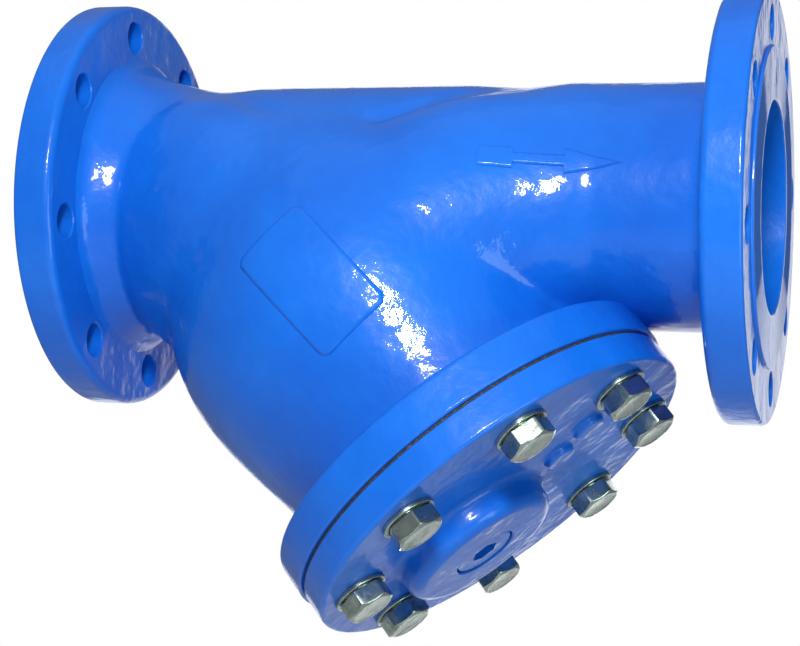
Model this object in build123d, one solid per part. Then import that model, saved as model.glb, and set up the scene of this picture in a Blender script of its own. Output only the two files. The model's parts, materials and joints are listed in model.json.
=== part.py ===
"""Flanged Y-type strainer, DN150 PN16: a cast body with an inclined branch, a bolted
cover with a drain plug, and a lift-out screen. Millimetres and degrees.

Frame: the origin is the centre of the inlet bolt circle on the front of the inlet flange
plate, +X runs along the pipe towards the outlet, +Z is up, and the branch leans down and
downstream in the XZ plane."""

import os
from math import cos, pi, radians, sin

from build123d import *

# Pipe run
face_to_face = 480.0
bore_d = 140.0
neck_wall = 12.5

# Pipe flanges
flange_d = 285.0
flange_t = 27.0
raised_face_d = 211.0
raised_face_h = 2.0
flange_bolt_circle = 240.0
flange_bolt_count = 8
flange_hole_d = 23.0
flange_back_round = 6.0
inlet_flare_length, inlet_flare_height = 70.0, 19.0
outlet_flare_length, outlet_flare_height = 16.0, 14.0

# Branch: distances called s run along its axis from where it crosses the pipe axis
branch_angle = 49.0
branch_x = 138.0
branch_length = 243.7
branch_flange_d = 287.0
branch_flange_t = 25.5
mouth_d = 190.0
barrel_wall = 10.0
barrel_belly_d, barrel_belly_s = 262.0, 84.0
barrel_foot_d = 236.0
barrel_foot_s = 188.2
barrel_dome_s = -78.0
barrel_dome_points = ((52.4, 21.0), (100.9, 82.0))
chamber_top_d, chamber_mouth_s = 193.6, 205.7

# Ducts that join the necks to the barrel: (x from the branch's crossing, centre height, radius)
inlet_duct_start = 5.0
inlet_duct_rings = ((-65.0, -14.0, 95.5), (-18.0, -32.0, 108.0))
middle_ring = (47.0, -75.0, 120.0)
outlet_duct_rings = ((128.0, -40.0, 114.0), (190.0, -12.0, 93.5))
outlet_duct_end = 240.0

# Seat wall between the inlet and outlet sides
seat_wall_top_s, seat_wall_t = 10.0, 14.0
seat_bore_d = 136.0
seat_recess_depth = 6.0
seat_bore_reach = 20.0

# Screen
screen_d, screen_sheet = 150.0, 1.5
screen_ring_width, screen_ring_height = 3.0, 12.0
screen_end_t = 3.0
screen_hole_d = 9.0
screen_rows, screen_columns = 9, 20
screen_plain_margin = 6.0
screen_clearance = 0.4
cover_rest_height = 13.7

# Gasket and cover
gasket_t = 2.0
gasket_inset = 1.5
cover_d = 283.0
cover_t = 21.0
cover_edge_round = 3.0
cover_bolt_circle = 226.0
cover_bolt_count = 8
cover_hole_clearance = 1.0
cover_rest_width = 12.0

# Drain boss, plug and sealing ring on the cover
drain_offset = 30.0
boss_d, boss_h, boss_round = 110.0, 20.0, 9.0
plug_thread_d, plug_thread_length = 33.2, 16.0
plug_collar_d, plug_collar_t = 42.0, 6.0
plug_socket_af, plug_socket_depth = 17.0, 10.0
seal_t = 2.0
plug_recess_gap = 1.0
plug_collar_clearance = 1.0

# Cover bolts and washers
bolt_d = 20.0
bolt_grip_in_body = 22.0
bolt_head_af, bolt_head_h = 30.0, 12.5
washer_d, washer_t = 37.0, 3.0
washer_clearance = 0.5
thread_clearance = 0.05
bolt_tip_chamfer = 1.5
head_chamfer, head_chamfer_slope = 1.6, 0.9
head_turn_step = 23.0
tapped_hole_spare = 1.5

# Cast details
label_pad_length, label_pad_width, label_pad_h = 90.0, 56.0, 2.0
label_pad_s, label_pad_up, label_pad_turn = 113.5, -4.0, 6.0
cover_pad_d, cover_pad_h = 22.0, 4.0
cover_pad_places = ((74.0, -18.0), (47.0, -6.0))
arrow_x, arrow_z, arrow_h = 348.0, 3.0, 1.5
arrow_length, arrow_head_length, arrow_tail_length = 90.0, 37.0, 21.0
arrow_head_width, arrow_tail_width, arrow_stem_width = 18.0, 15.0, 8.0

# Overlaps of cutting and joining shapes, which leave no trace
past = 1.0

# Worked out from the above
neck_r = bore_d / 2 + neck_wall
inlet_back = flange_t
outlet_face = face_to_face - 2 * raised_face_h
outlet_back = outlet_face - flange_t
seat_wall_bottom_s = seat_wall_top_s + seat_wall_t
screen_top_s = seat_wall_bottom_s - seat_recess_depth
cover_in_s = branch_length + gasket_t
cover_out_s = cover_in_s + cover_t
screen_bottom_s = cover_in_s - cover_rest_height
screen_ring_r = screen_d / 2 + screen_ring_width
bolt_length = washer_t + cover_t + gasket_t + bolt_grip_in_body
bolt_hole_r = bolt_d / 2 + thread_clearance

lean = radians(branch_angle)
branch = Plane(
    origin=(branch_x, 0, 0), x_dir=(sin(lean), 0, cos(lean)), z_dir=(cos(lean), 0, -sin(lean))
)
run_axis = Plane(origin=(0, 0, 0), x_dir=(0, 1, 0), z_dir=(1, 0, 0))


def round_bar(radius, low, high):
    """Cylinder on the local Z axis between two heights."""
    return Pos(0, 0, low) * Cylinder(radius, high - low, align=(Align.CENTER, Align.CENTER, Align.MIN))


def tube(outer_r, inner_r, low, high):
    """Ring on the local Z axis; the hole is cut past both ends."""
    return round_bar(outer_r, low, high) - round_bar(inner_r, low - past, high + past)


def circle_places(circle_d, count):
    """Hole places on a bolt circle that straddles the vertical centre line."""
    step = 2 * pi / count
    angles = [(i + 0.5) * step for i in range(count)]
    return [(circle_d / 2 * cos(a), circle_d / 2 * sin(a)) for a in angles]


def edge_at(solid, height):
    """Outer circle of a turned solid at a height."""
    circles = solid.edges().filter_by(GeomType.CIRCLE)
    return circles.filter_by(lambda e: abs(e.center().Z - height) < 0.01)


def flange_blank(raised_low, plate_low, plate_high, back_high):
    """Flange plate with its raised face; the rim's back edge is rounded as cast."""
    plate = round_bar(flange_d / 2, plate_low, plate_high)
    back = plate_high if back_high else plate_low
    plate = fillet(edge_at(plate, back), flange_back_round)
    low, high = (raised_low, plate_low) if back_high else (plate_high, raised_low)
    return plate + round_bar(raised_face_d / 2, low, high)


def flare(start, length, height):
    """Cast fillet from a flange's back down to the neck; a minus length runs towards the inlet."""
    end, inner_r = start + length, neck_r - neck_wall / 2
    top, foot = (neck_r + height, start), (neck_r, end)
    with BuildPart() as made:
        with BuildSketch(Plane.XZ):
            with BuildLine():
                Spline(top, foot, tangents=((-1, 0), (0, 1 if length > 0 else -1)))
                Polyline(foot, (inner_r, end), (inner_r, start), top)
            make_face()
        revolve(axis=Axis.Z)
    return made.part


def duct_sections():
    """Circles (x, centre z, radius) of the inlet side and of the outlet side of the casting."""
    def placed(rings):
        return [(branch_x + x, z, r) for x, z, r in rings]

    start, end = (inlet_back + inlet_duct_start, 0, neck_r), (branch_x + outlet_duct_end, 0, neck_r)
    inlet = [start, *placed(inlet_duct_rings + (middle_ring,))]
    outlet = [*placed((middle_ring,) + outlet_duct_rings), end]
    return inlet, outlet


def duct(sections, wall):
    """Smooth duct through round sections, drawn in by the wall for the inside."""
    rings = [
        Plane(origin=(x, 0, z), x_dir=(0, 1, 0), z_dir=(1, 0, 0)) * Circle(r - wall)
        for x, z, r in sections
    ]
    return loft(Sketch() + rings)


def barrel(extra):
    """Outside of the branch: a domed, pear-shaped turning, made larger by extra."""
    belly_r, foot_r = barrel_belly_d / 2 + extra, barrel_foot_d / 2 + extra
    dome, end = barrel_dome_s - extra, branch_length - branch_flange_t / 2
    rise = [(r + extra, dome + up) for r, up in barrel_dome_points]
    with BuildPart() as made:
        with BuildSketch(Plane.XZ):
            with BuildLine():
                curve = Spline(
                    (0, dome), *rise, (belly_r, barrel_belly_s), (foot_r, barrel_foot_s),
                    tangents=((1, 0), (-0.08, 1)),
                )
                Polyline(curve @ 1, (foot_r, end), (0, end), (0, dome))
            make_face()
        revolve(axis=Axis.Z)
    return made.part


def chamber():
    """Inside of the branch below the seat wall, narrowing to the mouth."""
    belly_r, mouth_r = barrel_belly_d / 2 - barrel_wall, mouth_d / 2
    top, end = seat_wall_bottom_s, branch_length + past
    widest = (belly_r, barrel_belly_s + barrel_wall)
    with BuildPart() as made:
        with BuildSketch(Plane.XZ):
            with BuildLine():
                curve = Spline((chamber_top_d / 2, top), widest, (mouth_r, chamber_mouth_s))
                Polyline(curve @ 1, (mouth_r, end), (0, end), (0, top), curve @ 0)
            make_face()
        revolve(axis=Axis.Z)
    return made.part


def half_space(low, high):
    """Everything between two heights along the branch, wide enough for the whole body."""
    size = 3 * face_to_face
    return branch.location * (Pos(0, 0, (low + high) / 2) * Box(size, size, high - low))


def label_pad():
    """Raised plain pad on the near side of the barrel, following its surface."""
    window = Box(label_pad_width, barrel_belly_d / 2, label_pad_length)
    window = Pos(label_pad_up, barrel_belly_d / 2, label_pad_s) * Rot(0, label_pad_turn, 0) * window
    return branch.location * (barrel(label_pad_h) & window)


def flow_arrow(outlet):
    """Raised arrow on the near side of the outlet duct, with a broad tail, pointing downstream."""
    tip, tail = arrow_x + arrow_length / 2, arrow_x - arrow_length / 2
    head, fan = tip - arrow_head_length, tail + arrow_tail_length
    half = [
        (tail, arrow_tail_width / 2), (fan, arrow_tail_width / 2), (fan, arrow_stem_width / 2),
        (head, arrow_stem_width / 2), (head, arrow_head_width / 2), (tip, 0),
    ]
    outline = Polyline(*half, *[(x, -z) for x, z in half[-2::-1]], close=True)
    blade = extrude(Plane.XZ * (Pos(0, arrow_z) * make_face(outline)), barrel_belly_d)
    skin = duct(outlet, -arrow_h) + run_axis.location * round_bar(neck_r + arrow_h, tail, tip + past)
    return blade & skin


def body_outside(inlet, outlet):
    """The whole casting as a solid, before its water way and holes are cut."""
    run = run_axis.location * round_bar(neck_r, 0, outlet_face)
    inlet_flange = flange_blank(-raised_face_h, 0, inlet_back, True)
    outlet_flange = flange_blank(outlet_face + raised_face_h, outlet_back, outlet_face, False)
    inlet_flare = flare(inlet_back, inlet_flare_length, inlet_flare_height)
    outlet_flare = flare(outlet_back, -outlet_flare_length, outlet_flare_height)
    pieces = [run_axis.location * p for p in (inlet_flange, outlet_flange, inlet_flare, outlet_flare)]
    branch_flange = round_bar(branch_flange_d / 2, branch_length - branch_flange_t, branch_length)
    body = run + branch.location * barrel(0) + duct(inlet, 0) + duct(outlet, 0)
    return body + [*pieces, branch.location * branch_flange, label_pad(), flow_arrow(outlet)]


def water_way(inlet, outlet):
    """Bore, ducts, chamber and seat; the seat wall is left standing between the two sides."""
    far = 2 * face_to_face
    bore = round_bar(bore_d / 2, -raised_face_h - past, outlet_face + raised_face_h + past)
    bore = run_axis.location * bore
    seat = round_bar(seat_bore_d / 2, seat_wall_top_s - seat_bore_reach, screen_top_s + past)
    recess = round_bar(screen_ring_r + screen_clearance, screen_top_s, seat_wall_bottom_s + past)
    return [
        (bore + duct(inlet, neck_wall)) & half_space(-far, seat_wall_top_s),
        (bore + duct(outlet, neck_wall)) & half_space(seat_wall_bottom_s, far),
        *[branch.location * p for p in (chamber(), seat, recess)],
    ]


def make_body():
    inlet, outlet = duct_sections()
    body = body_outside(inlet, outlet)
    for space in water_way(inlet, outlet):
        body -= space
    for y, z in circle_places(flange_bolt_circle, flange_bolt_count):
        for low, high in ((0, inlet_back), (outlet_back, outlet_face)):
            body -= run_axis.location * (Pos(y, z) * round_bar(flange_hole_d / 2, low - past, high + past))
    bottom = branch_length - bolt_grip_in_body - tapped_hole_spare
    for u, v in circle_places(cover_bolt_circle, cover_bolt_count):
        body -= branch.location * (Pos(u, v) * round_bar(bolt_hole_r, bottom, branch_length + past))
    return body


def make_gasket():
    blank = tube(cover_d / 2 - gasket_inset, mouth_d / 2, branch_length, cover_in_s)
    for u, v in circle_places(cover_bolt_circle, cover_bolt_count):
        hole_r = bolt_d / 2 + cover_hole_clearance
        blank -= Pos(u, v) * round_bar(hole_r, branch_length - past, cover_in_s + past)
    return branch.location * blank


def make_cover():
    plate = round_bar(cover_d / 2, cover_in_s, cover_out_s)
    plate = fillet(edge_at(plate, cover_out_s), cover_edge_round)
    boss_top = cover_out_s + boss_h
    boss = Pos(-drain_offset, 0) * round_bar(boss_d / 2, cover_in_s + past, boss_top)
    cover = plate + fillet(edge_at(boss, boss_top), boss_round)
    rest_r = screen_d / 2 - screen_sheet
    cover += tube(rest_r, rest_r - cover_rest_width, screen_bottom_s, cover_in_s + past)
    for u, v in cover_pad_places:
        top = cover_out_s + cover_pad_h
        pad = Pos(u, -v) * round_bar(cover_pad_d / 2, cover_out_s - past, top)
        cover += fillet(edge_at(pad, top), cover_pad_h / 2)
    for u, v in circle_places(cover_bolt_circle, cover_bolt_count):
        cover -= Pos(u, v) * round_bar(bolt_d / 2 + cover_hole_clearance, cover_in_s - past, boss_top)
    recess = plug_collar_t + seal_t + plug_recess_gap
    drain = Pos(-drain_offset, 0)
    seat_r, thread_r = plug_collar_d / 2 + plug_collar_clearance, plug_thread_d / 2 + thread_clearance
    cover -= drain * round_bar(seat_r, boss_top - recess, boss_top + past)
    cover -= drain * round_bar(thread_r, screen_bottom_s, boss_top + past)
    return branch.location * cover


def make_seal():
    """Flat ring under the plug's collar."""
    low = cover_out_s + boss_h - plug_recess_gap - plug_collar_t - seal_t
    outer_r = plug_collar_d / 2 - plug_collar_clearance
    ring = tube(outer_r, plug_thread_d / 2 + thread_clearance, low, low + seal_t)
    return branch.location * (Pos(-drain_offset, 0) * ring)


def make_plug():
    top = cover_out_s + boss_h - plug_recess_gap
    low = top - plug_collar_t
    plug = round_bar(plug_collar_d / 2, low, top)
    plug += round_bar(plug_thread_d / 2, low - seal_t - plug_thread_length, low + past)
    socket = extrude(RegularPolygon(plug_socket_af / 2, 6, major_radius=False), plug_socket_depth + past)
    plug -= Pos(0, 0, top - plug_socket_depth) * socket
    return branch.location * (Pos(-drain_offset, 0) * plug)


def make_bolt(u, v, turn):
    """Hexagon bolt with a turned-down head, standing at its own angle."""
    head = extrude(RegularPolygon(bolt_head_af / 2, 6, major_radius=False), bolt_head_h)
    top_r = bolt_head_af / 2 / cos(pi / 6) - head_chamfer
    foot_r = top_r + head_chamfer + bolt_head_h * head_chamfer_slope
    head = head & (Pos(0, 0, bolt_head_h / 2) * Cone(foot_r, top_r, bolt_head_h))
    shank = round_bar(bolt_d / 2, -bolt_length, bolt_head_h / 2)
    shank = chamfer(edge_at(shank, -bolt_length), bolt_tip_chamfer)
    return branch.location * (Pos(u, v, cover_out_s + washer_t) * Rot(0, 0, turn) * (head + shank))


def make_washer(u, v):
    ring = tube(washer_d / 2, bolt_d / 2 + washer_clearance, cover_out_s, cover_out_s + washer_t)
    return branch.location * (Pos(u, v) * ring)


def make_screen_tube():
    radius = screen_d / 2
    sheet = tube(radius, radius - screen_sheet, screen_top_s, screen_bottom_s)
    margin = screen_ring_height + screen_plain_margin
    low, high = screen_top_s + margin, screen_bottom_s - margin
    row_step = (high - low) / screen_rows
    holes = []
    for row in range(screen_rows):
        shift = 0.5 * (row % 2)
        for column in range(screen_columns):
            angle = 360 * (column + shift) / screen_columns
            peg = Rot(0, 90, 0) * Cylinder(screen_hole_d / 2, 8 * screen_sheet)
            holes.append(Rot(0, 0, angle) * (Pos(radius, 0, low + (row + 0.5) * row_step) * peg))
    return branch.location * (sheet - holes)


def make_screen_ring(low):
    return branch.location * tube(screen_ring_r, screen_d / 2, low, low + screen_ring_height)


def make_screen_end():
    """Closing disc at the cover end of the screen."""
    return branch.location * round_bar(
        screen_d / 2 - screen_sheet, screen_bottom_s - screen_end_t, screen_bottom_s
    )


def all_parts():
    parts = {
        "body": make_body(),
        "cover_gasket": make_gasket(),
        "cover": make_cover(),
        "drain_seal": make_seal(),
        "drain_plug": make_plug(),
        "screen_tube": make_screen_tube(),
        "screen_top_ring": make_screen_ring(screen_top_s),
        "screen_bottom_ring": make_screen_ring(screen_bottom_s - screen_ring_height),
        "screen_end_plate": make_screen_end(),
    }
    for i, (u, v) in enumerate(circle_places(cover_bolt_circle, cover_bolt_count), 1):
        parts[f"cover_bolt_{i}"] = make_bolt(u, v, head_turn_step * i)
        parts[f"bolt_washer_{i}"] = make_washer(u, v)
    return parts


os.makedirs("parts", exist_ok=True)
for name, shape in all_parts().items():
    export_step(shape, f"parts/{name}.step")
    print(name, round(shape.volume), "mm3")
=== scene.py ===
import json
import math

import bpy
import numpy as np
from mathutils import Matrix, Vector


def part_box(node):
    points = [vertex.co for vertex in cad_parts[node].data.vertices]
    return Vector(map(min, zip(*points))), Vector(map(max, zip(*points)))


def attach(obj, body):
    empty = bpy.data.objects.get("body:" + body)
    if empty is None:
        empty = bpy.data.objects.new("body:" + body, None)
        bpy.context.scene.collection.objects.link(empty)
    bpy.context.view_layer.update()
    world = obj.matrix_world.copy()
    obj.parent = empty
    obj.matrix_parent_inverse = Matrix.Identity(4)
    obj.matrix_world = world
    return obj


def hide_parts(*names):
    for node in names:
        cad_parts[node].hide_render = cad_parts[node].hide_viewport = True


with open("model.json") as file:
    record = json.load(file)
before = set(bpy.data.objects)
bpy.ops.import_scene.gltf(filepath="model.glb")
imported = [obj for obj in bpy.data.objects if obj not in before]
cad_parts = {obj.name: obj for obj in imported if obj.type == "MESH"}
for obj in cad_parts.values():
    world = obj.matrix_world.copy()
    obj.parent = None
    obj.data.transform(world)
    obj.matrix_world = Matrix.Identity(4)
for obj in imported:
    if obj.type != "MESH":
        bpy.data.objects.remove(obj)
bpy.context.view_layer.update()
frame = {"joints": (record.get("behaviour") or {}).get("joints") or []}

mm = 0.001

# ---- places read from the frame

joints = {j["name"]: j for j in frame["joints"]}
branchDir = np.array(joints["cover_slide"]["axis"], float)
sideDir = np.array([0.0, -1.0, 0.0])
branchUp = np.cross(sideDir, branchDir)
boltNames = sorted(n for n in joints if n.startswith("bolt_turn"))
boltSpots = np.array([joints[n]["pos_m"] for n in boltNames])
coverCentre = boltSpots.mean(0)
coverTopS = coverCentre[2] / branchDir[2]
branchFoot = coverCentre - coverTopS * branchDir


def onBranch(up, side, along):
    # place in the branch's own frame: up across it, side towards the viewer, along its axis
    up, side, along = np.broadcast_arrays(up, side, along)
    return branchFoot + up[..., None] * branchUp + side[..., None] * sideDir + along[..., None] * branchDir


def branchFrame(p):
    q = p - branchFoot
    return q @ branchUp, q @ sideDir, q @ branchDir


# ---- meshes from whole arrays

def fromArrays(name, verts, faces):
    mesh = bpy.data.meshes.new(name)
    mesh.from_pydata(np.asarray(verts).reshape(-1, 3).tolist(), [], np.asarray(faces).tolist())
    piece = bpy.data.objects.new(name, mesh)
    bpy.context.scene.collection.objects.link(piece)
    return piece


def meshPiece(name, verts, faces, body, replaced, material, angle=34):
    piece = fromArrays(name, verts, faces)
    piece.data.validate()
    piece.data.update()
    finishPiece(piece, body, replaced, material, angle)
    return piece


def finishPiece(piece, body, replaced, material, angle=34):
    mesh = piece.data
    mesh.polygons.foreach_set("use_smooth", np.ones(len(mesh.polygons), bool))
    if angle:
        mesh.set_sharp_from_angle(angle=math.radians(angle))
        even = piece.modifiers.new("evenShading", "WEIGHTED_NORMAL")
        even.keep_sharp = True
    mesh.materials.clear()
    mesh.materials.append(material)
    if body:
        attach(piece, body)
    if replaced:
        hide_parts(*replaced)


def gridFaces(rows, cols, wrapRows=False, wrapCols=True):
    # quads of a rows x cols grid; either direction may close on itself
    i = np.arange(rows if wrapRows else rows - 1)
    j = np.arange(cols if wrapCols else cols - 1)
    i, j = np.meshgrid(i, j, indexing="ij")
    i2, j2 = (i + 1) % rows, (j + 1) % cols
    return np.stack([i * cols + j, i * cols + j2, i2 * cols + j2, i2 * cols + j], -1).reshape(-1, 4)


def roundedOutline(corners, closed=True, steps=4):
    # each corner (radius, height, rounding) becomes an arc that is tangent to its two sides
    pts, n = [], len(corners)
    for k, (r, h, rounding) in enumerate(corners):
        here = np.array([r, h], float)
        if rounding <= 0 or (not closed and k in (0, n - 1)):
            pts.append(here)
            continue
        before = np.array(corners[k - 1][:2], float) - here
        after = np.array(corners[(k + 1) % n][:2], float) - here
        before, after = before / np.linalg.norm(before), after / np.linalg.norm(after)
        half = 0.5 * math.acos(np.clip(before @ after, -1, 1))
        reach = rounding / math.tan(half)
        middle = here + (before + after) / np.linalg.norm(before + after) * rounding / math.sin(half)
        a, b = here + before * reach - middle, here + after * reach - middle
        turn = math.atan2(a[0] * b[1] - a[1] * b[0], a @ b)
        for t in np.linspace(0, 1, steps + 1):
            c, s = math.cos(turn * t), math.sin(turn * t)
            pts.append(middle + np.array([a[0] * c - a[1] * s, a[0] * s + a[1] * c]))
    return np.array(pts)


def turned(outline, origin, axis, up, steps=128, shift=None, closed=True):
    # point(k, a) = origin + axis*h_k + shift_k*up + r_k*(up cos a + across sin a)
    outline = np.asarray(outline, float)
    axis, up = np.asarray(axis, float), np.asarray(up, float)
    across = np.cross(axis, up)
    a = np.linspace(0, 2 * math.pi, steps, endpoint=False)
    r, h = outline[:, 0][:, None, None], outline[:, 1][:, None, None]
    move = 0 if shift is None else np.asarray(shift, float)[:, None, None] * up
    ring = np.cos(a)[None, :, None] * up + np.sin(a)[None, :, None] * across
    verts = np.asarray(origin) + axis * h + move + r * ring
    faces = gridFaces(len(outline), steps, wrapRows=closed)
    if signedSize(verts.reshape(-1, 3), faces) < 0:
        faces = faces[:, ::-1]
    return verts.reshape(-1, 3), faces


def signedSize(verts, faces):
    # volume enclosed by quads, positive when they face outwards
    a, b, c, d = (verts[faces[:, k]] - verts.mean(0) for k in range(4))
    return (np.einsum("ij,ij->i", a, np.cross(b, c)) + np.einsum("ij,ij->i", a, np.cross(c, d))).sum()


def weld(piece):
    # joins doubled points at poles and drops the faces that have no area
    import bmesh
    b = bmesh.new()
    b.from_mesh(piece.data)
    bmesh.ops.remove_doubles(b, verts=b.verts, dist=2e-6)
    bmesh.ops.dissolve_degenerate(b, edges=b.edges, dist=1e-6)
    bmesh.ops.recalc_face_normals(b, faces=b.faces)
    b.to_mesh(piece.data)
    b.free()


def cutter(outline, origin, axis, up, steps=40):
    verts, faces = turned(outline, origin, axis, up, steps, closed=False)
    tool = fromArrays("cutter", verts, faces)
    weld(tool)
    return tool


def cutAway(piece, tools):
    # takes each tool's space out of the piece, then deletes the tools
    for tool in tools:
        cut = piece.modifiers.new("cut", "BOOLEAN")
        cut.operation, cut.solver, cut.object = "DIFFERENCE", "EXACT", tool
    bpy.context.view_layer.update()
    shaped = bpy.data.meshes.new_from_object(piece.evaluated_get(bpy.context.evaluated_depsgraph_get()))
    piece.modifiers.clear()
    piece.data = shaped
    for tool in tools:
        bpy.data.objects.remove(tool)


def turnedPiece(name, corners, origin, axis, up, body, replaced, material,
                steps=128, arcs=4, tools=(), shift=None, closed=True):
    outline = roundedOutline(corners, closed, arcs)
    verts, faces = turned(outline, origin, axis, up, steps, shift, closed)
    piece = fromArrays(name, verts, faces)
    if not closed:
        weld(piece)
    if tools:
        cutAway(piece, tools)
    finishPiece(piece, body, replaced, material)
    return piece


# ---- shared shader groups

def newGroup(name, inputs, outputs):
    group = bpy.data.node_groups.new(name, "ShaderNodeTree")
    for label, kind, value in inputs:
        socket = group.interface.new_socket(label, in_out="INPUT", socket_type="NodeSocket" + kind)
        if value is not None:
            socket.default_value = value
    for label, kind in outputs:
        group.interface.new_socket(label, in_out="OUTPUT", socket_type="NodeSocket" + kind)
    return group, group.nodes.new("NodeGroupInput"), group.nodes.new("NodeGroupOutput")


def noiseNode(tree, vector, scale, detail, roughness):
    node = tree.nodes.new("ShaderNodeTexNoise")
    tree.links.new(vector, node.inputs["Vector"])
    for key, value in (("Scale", scale), ("Detail", detail), ("Roughness", roughness)):
        if hasattr(value, "is_output"):
            tree.links.new(value, node.inputs[key])
        else:
            node.inputs[key].default_value = value
    return node.outputs["Fac"]


def mathNode(tree, operation, a, b=0.0, clamp=False):
    node = tree.nodes.new("ShaderNodeMath")
    node.operation, node.use_clamp = operation, clamp
    for socket, value in zip(node.inputs, (a, b)):
        if hasattr(value, "is_output"):
            tree.links.new(value, socket)
        else:
            socket.default_value = value
    return node.outputs[0]


def blendNode(tree, fac, a, b):
    node = tree.nodes.new("ShaderNodeMix")
    node.data_type = "RGBA"
    for key, value in (("Factor", fac), ("A", a), ("B", b)):
        kind = "VALUE" if key == "Factor" else "RGBA"
        sockets = [s for s in node.inputs if s.name == key and s.type == kind]
        if hasattr(value, "is_output"):
            tree.links.new(value, sockets[0])
        else:
            sockets[0].default_value = value
    return [s for s in node.outputs if s.type == "RGBA"][0]


def bumpNode(tree, height, strength, distance, normal=None):
    node = tree.nodes.new("ShaderNodeBump")
    node.inputs["Strength"].default_value = strength
    node.inputs["Distance"].default_value = distance
    tree.links.new(height, node.inputs["Height"])
    if normal is not None:
        tree.links.new(normal, node.inputs["Normal"])
    return node.outputs["Normal"]


def makeGrain():
    # height and mask of a surface's texture: coarse lumps under fine grain
    group, given, result = newGroup(
        "surfaceGrain",
        (("Vector", "Vector", None), ("Coarse", "Float", 60.0), ("Fine", "Float", 600.0),
         ("Share", "Float", 0.5)),
        (("Height", "Float"), ("Mask", "Float")),
    )
    coarse = noiseNode(group, given.outputs["Vector"], given.outputs["Coarse"], 3.0, 0.5)
    fine = noiseNode(group, given.outputs["Vector"], given.outputs["Fine"], 2.0, 0.5)
    fineShare = mathNode(group, "MULTIPLY", fine, given.outputs["Share"])
    group.links.new(mathNode(group, "ADD", coarse, fineShare), result.inputs["Height"])
    group.links.new(mathNode(group, "MULTIPLY", coarse, fine), result.inputs["Mask"])
    return group


def makeMottle():
    # slow change of tone and of gloss over the surface, as from handling and settling
    group, given, result = newGroup(
        "toneMottle",
        (("Vector", "Vector", None), ("Scale", "Float", 12.0), ("Low", "Float", 0.4), ("High", "Float", 0.6)),
        (("Mask", "Float"),),
    )
    field = noiseNode(group, given.outputs["Vector"], given.outputs["Scale"], 5.0, 0.6)
    ramp = group.nodes.new("ShaderNodeMapRange")
    group.links.new(field, ramp.inputs["Value"])
    group.links.new(given.outputs["Low"], ramp.inputs["From Min"])
    group.links.new(given.outputs["High"], ramp.inputs["From Max"])
    group.links.new(ramp.outputs["Result"], result.inputs["Mask"])
    return group


grainGroup, mottleGroup = makeGrain(), makeMottle()


def startMaterial(name):
    material = bpy.data.materials.new(name)
    material.use_nodes = True
    tree = material.node_tree
    shader = tree.nodes["Principled BSDF"]
    place = tree.nodes.new("ShaderNodeTexCoord").outputs["Object"]
    return material, tree, shader, place


def useGroup(tree, group, vector, **values):
    node = tree.nodes.new("ShaderNodeGroup")
    node.node_tree = group
    tree.links.new(vector, node.inputs["Vector"])
    for key, value in values.items():
        node.inputs[key].default_value = value
    return node.outputs


def scaled(tree, value, low, high):
    # maps a mask from 0..1 to low..high
    return mathNode(tree, "ADD", mathNode(tree, "MULTIPLY", value, high - low), low)


epoxy = {
    "deep": (0.003, 0.110, 0.60, 1), "bright": (0.006, 0.150, 0.72, 1), "peel": 520.0, "lumps": 150.0,
    "gloss": (0.34, 0.48), "coat": 0.5, "coatRoughness": 0.055, "wave": 34.0, "shine": 0.15,
    "waveHeight": 0.0016, "grainHeight": 0.0004, "grainStrength": 0.8, "share": 0.16, "refraction": 1.5,
}


def makeEpoxy():
    material, tree, shader, place = startMaterial("blueEpoxy")
    tone = useGroup(tree, mottleGroup, place, Scale=9.0, Low=0.35, High=0.68)["Mask"]
    grain = useGroup(tree, grainGroup, place, Coarse=epoxy["lumps"], Fine=epoxy["peel"], Share=epoxy["share"])
    tree.links.new(blendNode(tree, tone, epoxy["deep"], epoxy["bright"]), shader.inputs["Base Color"])
    tree.links.new(scaled(tree, grain["Mask"], *epoxy["gloss"]), shader.inputs["Roughness"])
    wave = noiseNode(tree, place, epoxy["wave"], 2.0, 0.5)
    surface = bumpNode(tree, wave, 1.0, epoxy["waveHeight"])
    surface = bumpNode(tree, grain["Height"], epoxy["grainStrength"], epoxy["grainHeight"], surface)
    tree.links.new(surface, shader.inputs["Normal"])
    tree.links.new(surface, shader.inputs["Coat Normal"])
    shader.inputs["Coat Weight"].default_value = epoxy["coat"]
    shader.inputs["Coat Roughness"].default_value = epoxy["coatRoughness"]
    shader.inputs["IOR"].default_value = epoxy["refraction"]
    shader.inputs["Specular IOR Level"].default_value = epoxy["shine"]
    return material


zinc = {"light": (0.50, 0.57, 0.53, 1), "dull": (0.22, 0.28, 0.25, 1), "gloss": (0.14, 0.34)}


def makeZinc():
    material, tree, shader, place = startMaterial("zincPlate")
    tone = useGroup(tree, mottleGroup, place, Scale=90.0, Low=0.38, High=0.66)["Mask"]
    grain = useGroup(tree, grainGroup, place, Coarse=500.0, Fine=2600.0, Share=0.6)
    tree.links.new(blendNode(tree, tone, zinc["light"], zinc["dull"]), shader.inputs["Base Color"])
    tree.links.new(scaled(tree, tone, *zinc["gloss"]), shader.inputs["Roughness"])
    tree.links.new(bumpNode(tree, grain["Height"], 0.25, 0.00012), shader.inputs["Normal"])
    shader.inputs["Metallic"].default_value = 1.0
    return material


stainless = {"light": (0.66, 0.65, 0.62, 1), "dull": (0.45, 0.44, 0.42, 1), "gloss": (0.24, 0.42)}


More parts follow.
